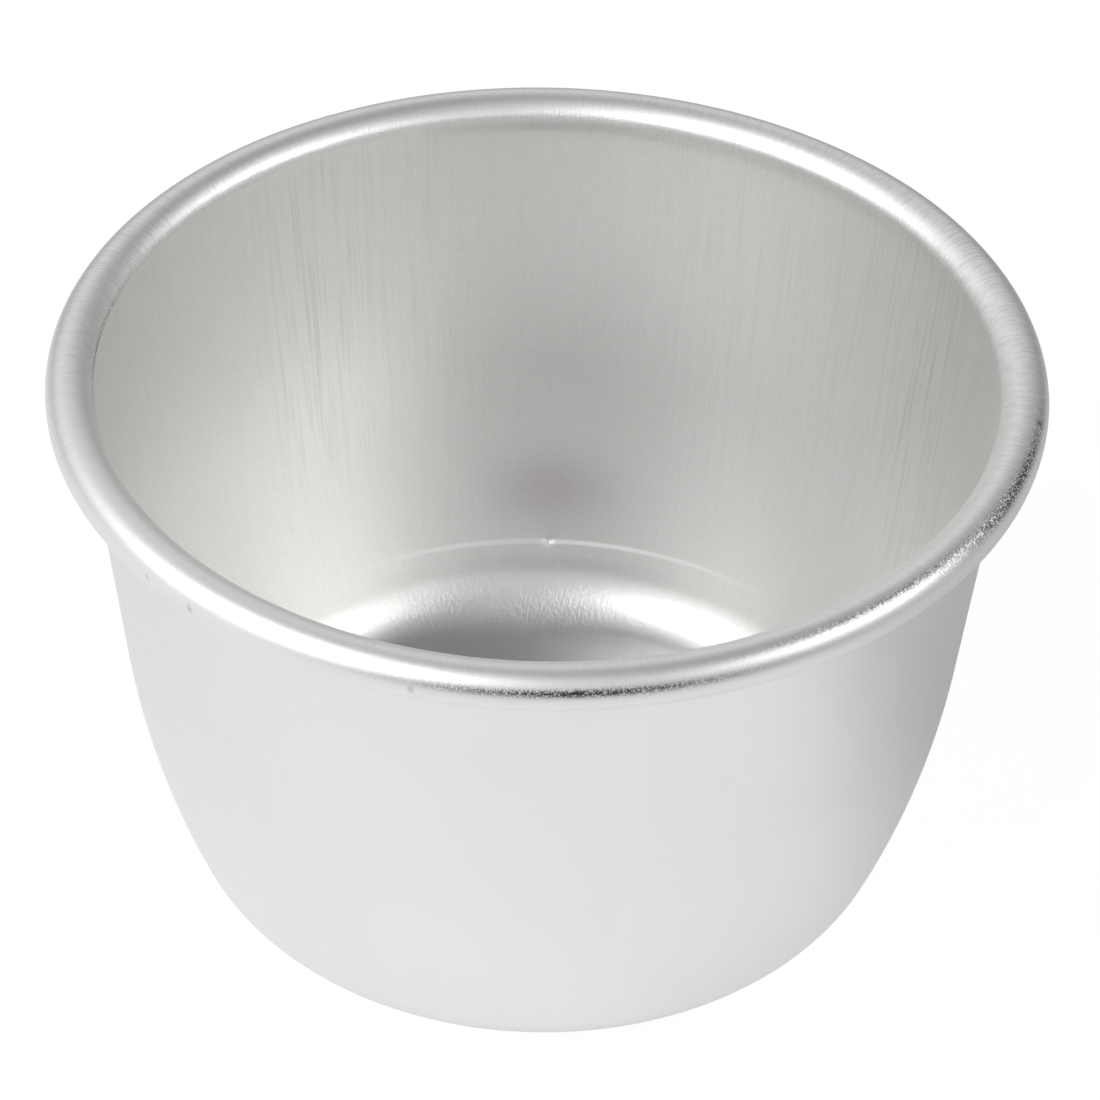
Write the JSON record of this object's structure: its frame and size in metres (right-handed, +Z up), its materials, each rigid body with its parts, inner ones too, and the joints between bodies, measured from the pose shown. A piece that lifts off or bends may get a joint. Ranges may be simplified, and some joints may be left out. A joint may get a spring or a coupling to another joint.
{
  "type": "dariole mould",
  "caption": "Low round cup mould drawn from bare aluminium sheet, with a flat base, a swelling wall and a rolled wired rim, for baking or setting one portion.",
  "frame": {"origin": "centre of the flat underside, which stands on the table", "axes": "+Z up along the mould's axis of revolution, from the base to the open mouth"},
  "size_m": [0.085, 0.085, 0.052],
  "materials": {
    "drawn_aluminium": "satin, as drawn",
    "wire_steel": "galvanised"
  },
  "bodies": {
    "root": {"drawn_shell": "drawn_aluminium", "rim_wire": "wire_steel"}
  },
  "joints": []
}
